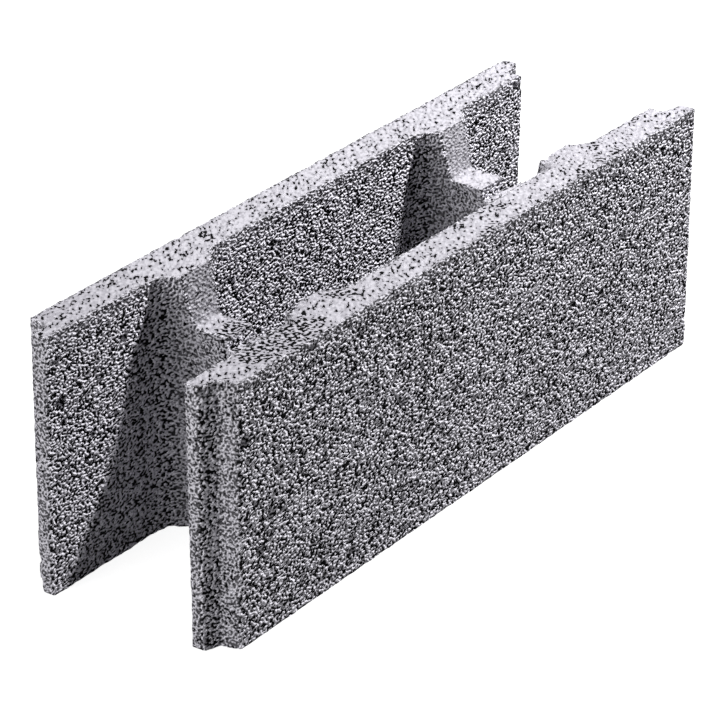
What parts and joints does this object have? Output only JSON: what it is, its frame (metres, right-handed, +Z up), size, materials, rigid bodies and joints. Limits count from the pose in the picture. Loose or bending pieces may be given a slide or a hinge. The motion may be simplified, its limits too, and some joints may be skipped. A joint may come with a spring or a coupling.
{
  "type": "hollow concrete formwork block",
  "caption": "Hollow porous concrete formwork block: long face walls tied by saddled cross webs, with tongues at one end and grooves at the other.",
  "frame": {"origin": "on the floor, under the middle of the block's overall length and width", "axes": "+X along the block towards its grooved end, +Y across the wall, +Z up towards the webs' saddles"},
  "size_m": [0.516, 0.15, 0.17],
  "materials": {
    "concrete": "matte"
  },
  "bodies": {
    "root": {"formwork_block": "concrete"}
  },
  "joints": []
}
